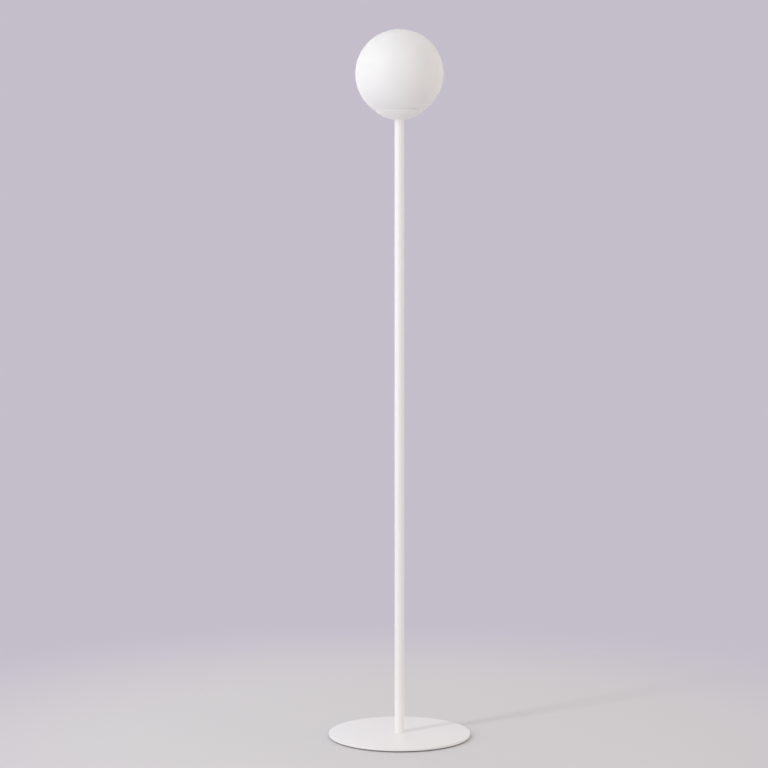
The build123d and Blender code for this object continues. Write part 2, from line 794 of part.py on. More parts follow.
wire_out_x = wire_circle_radius * cos(radians(wire_drop_angle))
with BuildPart() as live_wire:
    with BuildLine() as live_route:
        FilletPolyline(
            (wire_out_x, wire_lane_y, lead_top_z),
            (wire_out_x, wire_lane_y, wire_hole_z),
            (terminal_start - wire_strip_gap, wire_lane_y, wire_hole_z),
            radius=wire_bend_radius,
        )
    with BuildSketch(start_plane(live_route.line)):
        Circle(wire_radius)
    sweep()
    with BuildSketch(end_plane(live_route.line)):
        Circle(wire_tip_radius)
    extrude(amount=wire_tip_depth)
live_wire.part.label = "live_wire"
export_step(live_wire.part, "parts/live_wire.step")

with BuildPart() as neutral_wire:
    mirror(live_wire.part, about=Plane.YZ)
neutral_wire.part.label = "neutral_wire"
export_step(neutral_wire.part, "parts/neutral_wire.step")

with BuildPart() as earth_wire:
    with BuildLine() as earth_route:
        FilletPolyline(
            (0, wire_circle_radius, lead_top_z),
            (0, wire_circle_radius, lug_top_z + earth_wire_arch),
            (0, insert_wire_place, lug_top_z + earth_wire_arch),
            (0, insert_wire_place, lug_top_z + wire_strip_gap),
            radius=earth_bend_radius,
        )
    with BuildSketch(start_plane(earth_route.line)):
        Circle(wire_radius)
    sweep()
    with BuildSketch(end_plane(earth_route.line)):
        Circle(wire_tip_radius)
    extrude(amount=insert_screw_drop + wire_strip_gap)
earth_wire.part.label = "earth_wire"
export_step(earth_wire.part, "parts/earth_wire.step")

# ---------------------------------------------------------------- bulb
with BuildPart() as bulb_contact:
    with BuildSketch(Plane.XY.offset(bulb_z)):
        Circle(tip_radius)
    extrude(amount=tip_height)
    fillet(bulb_contact.edges().sort_by(Axis.Z)[0], tip_round)
bulb_contact.part.label = "bulb_contact"
export_step(bulb_contact.part, "parts/bulb_contact.step")

with BuildPart() as bulb_insulator:
    with BuildSketch(Plane.XY.offset(bulb_z + tip_height)):
        Circle(insulator_foot_radius)
    with BuildSketch(Plane.XY.offset(bulb_shell_z - insulator_band)):
        Circle(insulator_radius)
    loft(ruled=True)
    with BuildSketch(Plane.XY.offset(bulb_shell_z - insulator_band)):
        Circle(insulator_radius)
    extrude(amount=insulator_band)
bulb_insulator.part.label = "bulb_insulator"
export_step(bulb_insulator.part, "parts/bulb_insulator.step")

bulb_shell_bore = shell_radius - shell_thickness
with BuildPart() as bulb_shell:
    with BuildSketch(Plane.XY.offset(bulb_shell_z)):
        Circle(shell_radius)
    extrude(amount=shell_height)
    with BuildSketch(Plane.XY.offset(housing_z - shell_collar_height)):
        Circle(shell_collar_radius)
    extrude(amount=shell_collar_height)
    fillet(bulb_shell.edges().sort_by(Axis.Z)[0], shell_foot_round)
    with BuildSketch(Plane.XY.offset(bulb_shell_z + shell_thickness)):
        Circle(bulb_shell_bore)
    extrude(amount=shell_height, mode=Mode.SUBTRACT)
bulb_shell.part.label = "bulb_shell"
export_step(bulb_shell.part, "parts/bulb_shell.step")

housing_spigot_radius = bulb_shell_bore - thread_gap
housing_bore = housing_spigot_radius - housing_wall
housing_top_radius = dome_foot_radius + housing_step
board_radius = dome_foot_radius - dome_thickness - led_board_margin
board_z = housing_top_z - led_board_drop - led_board_thickness
with BuildPart() as bulb_housing:
    with BuildSketch(Plane.XZ):
        with BuildLine():
            Polyline(
                (housing_bore, housing_z),
                (housing_bore, housing_z - housing_spigot_height),
                (housing_spigot_radius, housing_z - housing_spigot_height),
                (housing_spigot_radius, housing_z),
                (housing_foot_radius, housing_z),
            )
            SagittaArc(
                (housing_foot_radius, housing_z),
                (housing_top_radius, housing_top_z),
                housing_bulge,
            )
            Polyline(
                (housing_top_radius, housing_top_z),
                (board_radius + thread_gap, housing_top_z),
                (board_radius + thread_gap, board_z),
                (board_radius - board_ledge, board_z),
            )
            SagittaArc(
                (board_radius - board_ledge, board_z), (housing_bore, housing_z), -housing_bulge
            )
        make_face()
    revolve(axis=Axis.Z)
bulb_housing.part.label = "bulb_housing"
export_step(bulb_housing.part, "parts/bulb_housing.step")

with BuildPart() as led_board:
    with BuildSketch(Plane.XY.offset(board_z)):
        Circle(board_radius)
    extrude(amount=led_board_thickness)
    with BuildSketch(Plane.XY.offset(board_z + led_board_thickness)):
        with PolarLocations(led_circle_radius, led_count):
            Rectangle(led_size, led_size)
    extrude(amount=led_height)
led_board.part.label = "led_board"
export_step(led_board.part, "parts/led_board.step")

driver_z = bulb_shell_z + driver_rise
with BuildPart() as bulb_driver:
    with BuildSketch(Plane.XY.offset(driver_z)):
        Rectangle(driver_width, driver_thickness)
    extrude(amount=driver_length)
    with BuildSketch(Plane.XY.offset(driver_z + driver_length / 4)):
        with Locations((0, capacitor_radius)):
            Circle(capacitor_radius)
    extrude(amount=driver_length / 2)
    with BuildSketch(Plane.XZ.offset(driver_thickness / 2)):
        with Locations((0, driver_z + driver_length / 2)):
            Rectangle(2 * coil_width, coil_width)
    extrude(amount=coil_width / 2)
bulb_driver.part.label = "bulb_driver"
export_step(bulb_driver.part, "parts/bulb_driver.step")

with BuildPart() as bulb_dome:
    with BuildSketch(Plane.XZ):
        with Locations((0, dome_centre_z)):
            Circle(bulb_radius)
            Circle(bulb_radius - dome_thickness, mode=Mode.SUBTRACT)
        with Locations((0, housing_top_z)):
            Rectangle(
                bulb_radius, bulb_length, align=(Align.MIN, Align.MIN), mode=Mode.INTERSECT
            )
    revolve(axis=Axis.Z)
bulb_dome.part.label = "bulb_dome"
export_step(bulb_dome.part, "parts/bulb_dome.step")
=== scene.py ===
from math import asin, cos, degrees, pi, radians, sin, tan

import bmesh
import bpy
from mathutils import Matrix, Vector

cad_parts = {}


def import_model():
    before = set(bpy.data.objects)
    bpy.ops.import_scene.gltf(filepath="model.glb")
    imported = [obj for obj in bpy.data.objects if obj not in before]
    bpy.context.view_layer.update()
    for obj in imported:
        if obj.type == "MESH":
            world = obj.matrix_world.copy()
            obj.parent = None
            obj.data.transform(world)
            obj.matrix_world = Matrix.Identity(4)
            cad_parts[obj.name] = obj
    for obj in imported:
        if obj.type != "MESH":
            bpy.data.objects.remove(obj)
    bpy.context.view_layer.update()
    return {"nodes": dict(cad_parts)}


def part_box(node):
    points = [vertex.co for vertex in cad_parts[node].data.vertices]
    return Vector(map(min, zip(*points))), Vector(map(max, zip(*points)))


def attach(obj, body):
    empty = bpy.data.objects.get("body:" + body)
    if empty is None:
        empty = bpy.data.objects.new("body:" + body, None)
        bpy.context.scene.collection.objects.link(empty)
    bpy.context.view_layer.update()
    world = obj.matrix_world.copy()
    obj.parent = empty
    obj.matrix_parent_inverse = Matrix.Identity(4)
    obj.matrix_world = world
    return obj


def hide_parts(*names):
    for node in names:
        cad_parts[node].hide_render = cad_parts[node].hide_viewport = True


# Globe floor lamp: a powder-coated plate and pole, a spun cup, and an opal glass globe over a
# screw lampholder and its bulb. Metres, +Z up, on the floor under the middle of the base.
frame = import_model()

MM = 0.001
MICRON = 0.000001
NEAR_AXIS = 1e-7

# Sides of the rings that a turned piece is made of.
PLATE_SIDES = 256
FINE_SIDES = 128
THREAD_SIDES = 96
PLAIN_SIDES = 64
SMALL_SIDES = 48
RIVET_SIDES = 24

# An edge stays crisp where its faces meet at more than this many degrees.
TURNED_SHARP = 35
THREAD_SHARP = 50
CAD_SHARP = 30

# Sizes that more than one piece follows. The pitch is the one that couples the bulb's joints, so
# its thread stays in line with the lampholder's as it turns.
CONE_ANGLE = radians(35)
THREAD_PITCH = 3.629 * MM
THREAD_DEPTH = 0.5 * MM


def size_of(node):
    """A CAD node's bottom and top, and its outer radius where it is round the lamp's axis."""
    lowest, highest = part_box(node)
    return lowest.z, highest.z, highest.x


# ---------------------------------------------------------------- profiles
def arc(centre, radius, start, end, steps):
    """Points along an arc, from one angle to another in degrees."""
    points = []
    for step in range(steps + 1):
        angle = radians(start + (end - start) * step / steps)
        points.append((centre[0] + radius * cos(angle), centre[1] + radius * sin(angle)))
    return points


def around(count, first, radius):
    """Places spread evenly on a circle round the axis, the first at an angle in degrees."""
    return arc((0, 0), radius, first, first + 360, count)[:-1]


def bow(start, end, rise, steps):
    """Points of a shallow parabola between two points; its middle is rise left of the chord."""
    along = Vector(end) - Vector(start)
    left = Vector((-along.y, along.x)).normalized()
    points = []
    for step in range(steps + 1):
        share = step / steps
        place = Vector(start) + along * share + left * rise * 4 * share * (1 - share)
        points.append(tuple(place))
    return points


def dome(radius, rim_z, apex_z, steps=6):
    """Points of a quarter ellipse, from a dome's rim to its apex on the axis."""
    points = []
    for step in range(steps):
        angle = radians(90 * step / steps)
        points.append((radius * cos(angle), rim_z + (apex_z - rim_z) * sin(angle)))
    return [*points, (0, apex_z)]


def cut_ball(node, wall, steps):
    """A hollow ball that fills a node's box, cut off level at the node's lower end."""
    bottom, top, radius = size_of(node)
    middle = top - radius
    inner_radius = radius - wall
    cut_outside = degrees(asin((bottom - middle) / radius))
    cut_inside = degrees(asin((bottom - middle) / inner_radius))
    return [
        *arc((0, middle), radius, cut_outside, 90, steps),
        *arc((0, middle), inner_radius, 90, cut_inside, steps),
    ]


def thread(radius, bottom, top):
    """Points up a threaded wall, with the thread's depth, which fades in and out again."""
    fade = 2 * MM
    points_per_pitch = 12
    steps = int((top - bottom) / (THREAD_PITCH / points_per_pitch))
    points = []
    for step in range(steps + 1):
        height = bottom + (top - bottom) * step / steps
        share = min(1.0, (height - bottom) / fade, (top - height) / fade)
        smooth = share * share * (3 - 2 * share)
        points.append((radius, height, THREAD_DEPTH * smooth))
    return points


def rounded(points, radius, steps=3):
    """A closed profile whose sharp corners are curved; corners on the axis stay."""
    sharp = 25
    longest_share = 0.45
    corners = [Vector(point) for point in points]
    result = []
    for before, here, after in zip(corners[-1:] + corners, corners, corners[1:] + corners[:1]):
        back, ahead = before - here, after - here
        turn = pi - back.angle(ahead)
        if abs(here.x) < NEAR_AXIS or degrees(turn) < sharp:
            result.append(tuple(here))
            continue
        longest = longest_share * min(back.length, ahead.length)
        reach = min(radius * tan(turn / 2), longest)
        start = here + back.normalized() * reach
        end = here + ahead.normalized() * reach
        for step in range(steps + 1):
            share = step / steps
            result.append(tuple(start.lerp(here, share).lerp(here.lerp(end, share), share)))
    return result


# ---------------------------------------------------------------- meshes
def join_rings(mesh, rings):
    """Faces between neighbouring rings, the last and the first too; a ring may be one vertex."""
    for lower, upper in zip(rings, rings[1:] + rings[:1]):
        sides = max(len(lower), len(upper))
        if sides == 1:
            continue
        for place in range(sides):
            beside = (place + 1) % sides
            corners = [
                lower[place % len(lower)],
                lower[beside % len(lower)],
                upper[beside % len(upper)],
                upper[place % len(upper)],
            ]
            mesh.faces.new(list(dict.fromkeys(corners)))


def add_lathe(mesh, profile, sides, centre=(0, 0)):
    """A closed form turned round a centre from points of radius and height.

    A third number in a point is the depth there of a right-hand thread.
    """
    rings = []
    for radius, height, *threaded in profile:
        if radius < NEAR_AXIS:
            rings.append([mesh.verts.new((*centre, height))])
            continue
        depth = threaded[0] if threaded else 0
        ring = []
        for place in range(sides):
            angle = 2 * pi * place / sides
            reach = radius + depth * cos(2 * pi * height / THREAD_PITCH - angle)
            x, y = centre[0] + reach * cos(angle), centre[1] + reach * sin(angle)
            ring.append(mesh.verts.new((x, y, height)))
        rings.append(ring)
    join_rings(mesh, rings)


def piece(name, mesh, body, material, node, sharp=TURNED_SHARP):
    """Turns a mesh into a smooth piece that rides on a body and stands for a CAD node."""
    bmesh.ops.recalc_face_normals(mesh, faces=mesh.faces)
    data = bpy.data.meshes.new(name)
    mesh.to_mesh(data)
    mesh.free()
    data.materials.append(material)
    data.shade_smooth()
    data.set_sharp_from_angle(angle=radians(sharp))
    made = bpy.data.objects.new(name, data)
    bpy.context.scene.collection.objects.link(made)
    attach(made, body)
    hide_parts(node)
    return made


def turned(name, profile, body, material, node, sides=PLAIN_SIDES, sharp=TURNED_SHARP):
    """A piece turned from one profile about the lamp's axis."""
    mesh = bmesh.new()
    add_lathe(mesh, profile, sides)
    return piece(name, mesh, body, material, node, sharp)


def carried_over(node, material, bevel):
    """A CAD node keeps its shape and gets its finish, smooth faces and small broken edges."""
    made = frame["nodes"][node]
    made.data.materials.clear()
    made.data.materials.append(material)
    made.data.shade_smooth()
    made.data.set_sharp_from_angle(angle=radians(CAD_SHARP))
    if bevel:
        edge = made.modifiers.new("edge", "BEVEL")
        edge.width = bevel
        edge.segments = 2
        edge.limit_method = "ANGLE"
        edge.angle_limit = radians(CAD_SHARP)
        edge.harden_normals = True


# ---------------------------------------------------------------- materials
# The range of a noise that is spread to a full one.
NOISE_LOW, NOISE_HIGH = 0.3, 0.7

# Sockets of a Mix node that mixes colours.
MIX_FIRST, MIX_SECOND, MIX_RESULT = 6, 7, 2


def combined(nodes, links, operation, first, second):
    """A math node's output, for an output and another output or a number."""
    node = nodes.new("ShaderNodeMath")
    node.operation = operation
    links.new(first, node.inputs[0])
    if isinstance(second, bpy.types.NodeSocket):
        links.new(second, node.inputs[1])
    else:
        node.inputs[1].default_value = second
    return node.outputs["Value"]


class Finish:
    """A node material that is built up from noise over the object's own coordinates."""

    def __init__(self, name, colour, roughness, metallic=0.0):
        self.material = bpy.data.materials.new(name)
        self.material.use_nodes = True
        self.material.diffuse_color = (*colour, 1)
        self.nodes = self.material.node_tree.nodes
        self.links = self.material.node_tree.links
        self.shader = self.nodes["Principled BSDF"]
        self.shader.inputs["Base Color"].default_value = (*colour, 1)
        self.set(Roughness=roughness, Metallic=metallic)
        self.colour = colour
        self.roughness = roughness
        self.place = self.nodes.new("ShaderNodeTexCoord").outputs["Object"]
        self.bump = None

    def noise(self, size, detail, stretch=(1, 1, 1)):
        """Noise whose patches are about as wide as size times the stretch along each axis."""
        mapping = self.nodes.new("ShaderNodeMapping")
        mapping.inputs["Scale"].default_value = [1 / (size * pull) for pull in stretch]
        self.links.new(self.place, mapping.inputs["Vector"])
        texture = self.nodes.new("ShaderNodeTexNoise")
        texture.inputs["Scale"].default_value = 1.0
        texture.inputs["Detail"].default_value = detail
        self.links.new(mapping.outputs["Vector"], texture.inputs["Vector"])
        return texture.outputs["Fac"]

    def ranged(self, value, lowest=0.0, highest=1.0):
        """A noise spread between two values."""
        spread = self.nodes.new("ShaderNodeMapRange")
        spread.inputs["From Min"].default_value = NOISE_LOW
        spread.inputs["From Max"].default_value = NOISE_HIGH
        spread.inputs["To Min"].default_value = lowest
        spread.inputs["To Max"].default_value = highest
        self.links.new(value, spread.inputs["Value"])
        return spread.outputs["Result"]

    def paint(self, share, first, second):
        """Colours the surface between two colours, by a share."""
        mix = self.nodes.new("ShaderNodeMix")
        mix.data_type = "RGBA"
        mix.inputs[MIX_FIRST].default_value = (*first, 1)
        mix.inputs[MIX_SECOND].default_value = (*second, 1)
        self.links.new(share, mix.inputs["Factor"])
        self.links.new(mix.outputs[MIX_RESULT], self.shader.inputs["Base Color"])

    def clouds(self, size, first, second, detail=3.0):
        """Colours the surface in clouds of two colours."""
        self.paint(self.ranged(self.noise(size, detail)), first, second)

    def mottle(self, size, amount):
        """Colours the surface in patches a little darker and lighter than its colour."""
        darker = [channel * (1 - amount) for channel in self.colour]
        lighter = [min(1.0, channel * (1 + amount)) for channel in self.colour]
        self.clouds(size, darker, lighter)

    def vary_roughness(self, size, amount, stretch=(1, 1, 1)):
        """Roughness that changes a little over the surface."""
        noise = self.noise(size, 3.0, stretch)
        value = self.ranged(noise, self.roughness - amount, self.roughness + amount)
        self.links.new(value, self.shader.inputs["Roughness"])

    def relief(self, depth, size, detail=2.0, stretch=(1, 1, 1)):
        """Adds a bump of a real depth on top of earlier ones."""
        bump = self.nodes.new("ShaderNodeBump")
        bump.inputs["Distance"].default_value = depth
        self.links.new(self.noise(size, detail, stretch), bump.inputs["Height"])
        if self.bump:
            self.links.new(self.bump, bump.inputs["Normal"])
        self.bump = bump.outputs["Normal"]
        self.links.new(self.bump, self.shader.inputs["Normal"])

    def set(self, **values):
        """Sets the shader's own sockets, with _ for the spaces in their names."""
        for socket, value in values.items():
            self.shader.inputs[socket.replace("_", " ")].default_value = value


def powder_coat():
    """Fine-textured powder coat: an orange peel over a millimetre wide and a finer grain."""
    coat = Finish("powder_coat", (0.90, 0.895, 0.885), 0.42)
    coat.mottle(120 * MM, 0.006)
    coat.vary_roughness(4 * MM, 0.05)
    coat.relief(20 * MICRON, 1.4 * MM, detail=1.0)
    coat.relief(6 * MICRON, 0.4 * MM)
    return coat.material


def opal_glass():
    """Blown opal glass with a satin, acid-etched skin."""
    glass = Finish("opal_glass", (0.985, 0.98, 0.97), 0.55)
    glass.mottle(50 * MM, 0.004)
    glass.vary_roughness(3 * MM, 0.03)
    glass.relief(40 * MICRON, 30 * MM, detail=1.0)
    glass.relief(2 * MICRON, 0.3 * MM)
    glass.set(
        Subsurface_Weight=1.0,
        Subsurface_Scale=3 * MM,
        Subsurface_Radius=(1.0, 1.0, 1.0),
        IOR=1.5,
        Sheen_Weight=0.12,
        Sheen_Roughness=0.35,
    )
    return glass.material


def ground_glass():
    """The cut and ground edge of the globe's opening."""
    glass = Finish("ground_glass", (0.88, 0.89, 0.885), 0.75)
    glass.mottle(2 * MM, 0.03)
    glass.relief(20 * MICRON, 0.3 * MM, detail=3.0)
    return glass.material


def rubber():
    """Black rubber with a matt, slightly dusty skin."""
    pad = Finish("pad_rubber", (0.045, 0.045, 0.047), 0.8)
    pad.mottle(3 * MM, 0.25)
    pad.vary_roughness(1 * MM, 0.08)
    pad.relief(30 * MICRON, 0.6 * MM, detail=3.0)
    return pad.material


def silicone():
    """Milky silicone that lets a little light in."""
    seat = Finish("seat_silicone", (0.80, 0.80, 0.79), 0.5)
    seat.mottle(10 * MM, 0.02)
    seat.vary_roughness(2 * MM, 0.06)
    seat.relief(10 * MICRON, 0.8 * MM)
    seat.set(
        Subsurface_Weight=0.3, Subsurface_Scale=2 * MM, Subsurface_Radius=(1.0, 0.95, 0.9)
    )
    return seat.material


def zinc():
    """Bright zinc plating over turned steel, faintly clouded and yellowed."""
    plate = Finish("zinc_plate", (0.60, 0.60, 0.58), 0.32, metallic=1.0)
    plate.clouds(4 * MM, (0.52, 0.53, 0.53), (0.66, 0.64, 0.58), detail=4.0)
    plate.vary_roughness(1.5 * MM, 0.1, stretch=(1, 1, 0.3))
    plate.relief(8 * MICRON, 0.8 * MM, detail=3.0, stretch=(1, 1, 0.15))
    return plate.material


def spring_steel():
    """Hardened strip with rolling streaks along it and a faint blue of tempering."""
    strip = Finish("spring_strip", (0.42, 0.42, 0.44), 0.3, metallic=1.0)
    strip.clouds(6 * MM, (0.34, 0.35, 0.40), (0.50, 0.49, 0.47))
    strip.vary_roughness(2 * MM, 0.08, stretch=(0.2, 0.2, 3))
    strip.relief(6 * MICRON, 0.8 * MM, detail=3.0, stretch=(0.2, 0.2, 6))
    return strip.material


def brass():
    """Plain turned and pressed brass, a little tarnished in places."""
    metal = Finish("plain_brass", (0.72, 0.53, 0.24), 0.28, metallic=1.0)
    metal.clouds(3 * MM, (0.60, 0.42, 0.18), (0.80, 0.60, 0.30), detail=4.0)
    metal.vary_roughness(1 * MM, 0.1)
    metal.relief(6 * MICRON, 0.6 * MM, detail=3.0)
    return metal.material


def nickel():
    """Nickel-plated pressed shell with fine drawing lines round it."""
    metal = Finish("nickel_shell", (0.70, 0.68, 0.64), 0.2, metallic=1.0)
    metal.mottle(3 * MM, 0.06)
    metal.vary_roughness(0.8 * MM, 0.07, stretch=(6, 6, 0.2))
    metal.relief(4 * MICRON, 0.6 * MM, stretch=(8, 8, 0.3))
    return metal.material


def solder():
    """Solder, uneven where it set."""
    metal = Finish("solder_tip", (0.55, 0.55, 0.56), 0.38, metallic=1.0)
    metal.mottle(1 * MM, 0.15)
    metal.vary_roughness(0.8 * MM, 0.12)
    metal.relief(60 * MICRON, 1.2 * MM)
    return metal.material


def vitrite():
    """Black glass insulator, fired and glossy."""
    glass = Finish("vitrite", (0.02, 0.02, 0.024), 0.15)
    glass.mottle(2 * MM, 0.3)
    glass.vary_roughness(1 * MM, 0.06)
    glass.relief(20 * MICRON, 1.5 * MM)
    return glass.material


def frosted():
    """Diffusing plastic of the bulb's dome."""
    diffuser = Finish("frosted_dome", (0.90, 0.90, 0.88), 0.42)
    diffuser.mottle(10 * MM, 0.006)
    diffuser.vary_roughness(2 * MM, 0.04)
    diffuser.relief(6 * MICRON, 0.5 * MM)
    diffuser.set(
        Subsurface_Weight=0.3, Subsurface_Scale=3 * MM, Subsurface_Radius=(1.0, 0.95, 0.9)
    )
    return diffuser.material


def moulded(name, colour, roughness):
    """Injection-moulded plastic with a fine spark-eroded grain."""
    part = Finish(name, colour, roughness)
    part.mottle(20 * MM, 0.015)
    part.vary_roughness(3 * MM, 0.05)
    part.relief(10 * MICRON, 0.7 * MM, detail=3.0)
    return part.material


def insulation(name, colour):
    """Soft extruded sheath with faint lengthwise die lines."""
    sheath = Finish(name, colour, 0.5)
    sheath.mottle(6 * MM, 0.04)
    sheath.vary_roughness(2 * MM, 0.08)
    sheath.relief(10 * MICRON, 0.6 * MM, stretch=(0.5, 0.5, 8))
    return sheath.material


def earth_insulation():
    """Green insulation with a yellow stripe along one side."""
    yellow = (0.80, 0.68, 0.05)
    stripe_edge = 0.2 * MM
    sheath = Finish("green_yellow_sheath", (0.12, 0.36, 0.07), 0.5)
    axes = sheath.nodes.new("ShaderNodeSeparateXYZ")
    sheath.links.new(sheath.place, axes.inputs["Vector"])
    x = axes.outputs["X"]
    stripe = combined(sheath.nodes, sheath.links, "GREATER_THAN", x, stripe_edge)
    sheath.paint(stripe, sheath.colour, yellow)
    sheath.vary_roughness(2 * MM, 0.08)
    return sheath.material


def board_white():
    """White solder mask over an aluminium board."""
    board = Finish("led_board_white", (0.85, 0.85, 0.83), 0.3)
    board.mottle(2 * MM, 0.02)
    board.vary_roughness(1 * MM, 0.05)
    board.relief(5 * MICRON, 0.5 * MM)
    return board.material


def circuit_green():
    """Green solder mask over a glass-fibre board."""
    board = Finish("circuit_green", (0.03, 0.20, 0.07), 0.35)
    board.mottle(1.5 * MM, 0.2)
    board.vary_roughness(1 * MM, 0.08)
    board.relief(10 * MICRON, 0.6 * MM, detail=3.0)
    return board.material


COAT = powder_coat()
GLASS = opal_glass()
GROUND = ground_glass()
RUBBER = rubber()
SILICONE = silicone()
ZINC = zinc()
SPRING = spring_steel()
BRASS = brass()
NICKEL = nickel()
SOLDER = solder()
VITRITE = vitrite()
FROSTED = frosted()
HOLDER_WHITE = moulded("holder_white", (0.86, 0.855, 0.84), 0.35)
BUSH_WHITE = moulded("bush_white", (0.86, 0.86, 0.85), 0.45)
BLOCK_CREAM = moulded("block_cream", (0.74, 0.70, 0.60), 0.55)
BULB_WHITE = moulded("bulb_white", (0.88, 0.88, 0.87), 0.4)


# ---------------------------------------------------------------- base
def base_plate():
    """Disc with softened edges and the countersunk hole for the pole's screw."""
    bottom, top, rim = size_of("base_plate")
    screw_hole, countersink = 4.1 * MM, 8.45 * MM
    top_round, bottom_round = 0.8 * MM, 0.4 * MM
    profile = [
        (screw_hole, bottom + countersink - screw_hole),
        (countersink, bottom),
        *arc((rim - bottom_round, bottom + bottom_round), bottom_round, -90, 0, steps=4),
        *arc((rim - top_round, top - top_round), top_round, 0, 90, steps=6),
        (screw_hole, top),
    ]
    turned(
        "plate_disc", profile, "stand", COAT, "base_plate", sides=PLATE_SIDES
    )


def base_pads():
    """Six moulded pads under the plate."""
    count, first_angle = 6, 30
    pad_circle = 140 * MM
    radius, foot_round = 10 * MM, 0.6 * MM
    bottom, top, _ = size_of("base_pads")
    profile = [
        (0, bottom),
        *arc((radius - foot_round, bottom + foot_round), foot_round, -90, 0, steps=4),
        (radius, top),
        (0, top),
    ]
    mesh = bmesh.new()
    for centre in around(count, first_angle, pad_circle):
        add_lathe(mesh, profile, SMALL_SIDES, centre)
    piece("pad_set", mesh, "stand", RUBBER, "base_pads")


# ---------------------------------------------------------------- cup and globe
def cup():
    """Cup spun from thin sheet: a shallow dome, a crisp edge and a cone up to the rim."""
    bottom, _, rim = size_of("holder_cup")
    sheet = 0.8 * MM
    hole, land = 5.1 * MM, 13 * MM
    edge, edge_z = 38.4 * MM, bottom + 8 * MM
    rim_z = edge_z + (rim - edge) * tan(CONE_ANGLE)
    dome_sag, dome_steps = 0.4 * MM, 16
    dome_end_angle, bend_share = radians(16), 0.4
    inner_edge = edge - bend_share * sheet * tan((CONE_ANGLE + dome_end_angle) / 2)
    profile = [
        (hole, bottom),
        *bow((land, bottom), (edge, edge_z), -dome_sag, dome_steps),
        (rim, rim_z),
        (rim - sheet * sin(CONE_ANGLE), rim_z + sheet * cos(CONE_ANGLE)),
        *bow((inner_edge, edge_z + sheet), (land, bottom + sheet), dome_sag, dome_steps),
        (hole, bottom + sheet),
    ]
    turned(
        "cup_shell", rounded(profile, 0.35 * MM), "stand",
        COAT, "holder_cup", sides=FINE_SIDES,
    )


def globe():
    """Blown globe with its ground opening; the ground edge is a separate finish."""
    wall, ground_band = 3 * MM, 0.1 * MM
    bottom, _, _ = size_of("globe")
    profile = rounded(cut_ball("globe", wall, steps=96), 0.4 * MM)
    made = turned(
        "globe_shell", profile, "glass", GLASS, "globe", sides=FINE_SIDES
    )
    made.data.materials.append(GROUND)
    for face in made.data.polygons:
        if face.center.z < bottom + ground_band:
            face.material_index = 1


def globe_seat():
    """Wedge-shaped silicone ring between the cup's cone and the ground edge."""
    bottom, top, outer = size_of("globe_seat")
    inner = 42.8 * MM
    profile = [
        (inner, bottom),
        (outer, bottom + (outer - inner) * tan(CONE_ANGLE)),
        (outer, top),
        (inner, top),
    ]
    turned(
        "seat_ring", rounded(profile, 0.25 * MM), "stand",
        SILICONE, "globe_seat", sides=FINE_SIDES,
    )


def rivets():
    """Domed rivets, two through each of the three clips' feet."""
    clip_count, first_angle = 3, 90
    rivet_circles = (27.8 * MM, 32.6 * MM)
    shank, head, head_height = 1.45 * MM, 2.4 * MM, 0.7 * MM
    bottom, top, _ = size_of("clip_rivets")
    grip_bottom, grip_top = bottom + head_height, top - head_height
    profile = [
        *reversed(dome(head, grip_bottom, bottom)),
        (shank, grip_bottom),
        (shank, grip_top),
        *dome(head, grip_top, top),
    ]
    mesh = bmesh.new()
    for circle in rivet_circles:
        for centre in around(clip_count, first_angle, circle):
            add_lathe(mesh, profile, RIVET_SIDES, centre)
    piece("rivet_set", mesh, "stand", ZINC, "clip_rivets")


# ---------------------------------------------------------------- lampholder
def lampholder_cap():
    """Flared cap on its boss, with a ledge inside its rim."""
    bottom, top, radius = size_of("lampholder_cap")
    hole, boss, boss_height = 5 * MM, 9 * MM, 1.5 * MM
    flare_z, flare_rise = bottom + 12 * MM, 2.6 * MM
    inner, floor_z = radius - 2.2 * MM, bottom + 3 * MM
    ledge, ledge_z = radius - 4.1 * MM, top - 3 * MM
    chamfer = 0.4 * MM
    profile = [
        (hole, floor_z),
        (hole, bottom),
        (boss, bottom),
        *bow((boss, bottom + boss_height), (radius, flare_z), -flare_rise, steps=14),
        (radius, top - chamfer),
        (radius - chamfer, top),
        (ledge, top),
        (ledge, ledge_z),
        (inner, ledge_z),
        *bow((inner, flare_z), (boss, floor_z), flare_rise, steps=10),
    ]
    turned(
        "holder_cap", rounded(profile, 0.2 * MM, steps=2), "stand",
        HOLDER_WHITE, "lampholder_cap", sides=FINE_SIDES,
    )


def lampholder_sleeve():
    """Outer sleeve, wide over the terminal block and narrow round the screw shell."""
    bottom, top, radius = size_of("lampholder_sleeve")
    wide, narrow = radius - 2.2 * MM, 13.95 * MM
    _, shelf_z, _ = size_of("terminal_block")
    chamfer, mouth = 0.4 * MM, 1 * MM
    profile = [
        (wide, bottom),
        (radius - chamfer, bottom),
        (radius, bottom + chamfer),
        (radius, top - mouth),
        (radius - mouth, top),
        (narrow + mouth, top),
        (narrow, top - mouth),
        (narrow, shelf_z),
        (wide, shelf_z),
    ]
    turned(
        "holder_sleeve", rounded(profile, 0.3 * MM), "stand",
        HOLDER_WHITE, "lampholder_sleeve", sides=FINE_SIDES,
    )


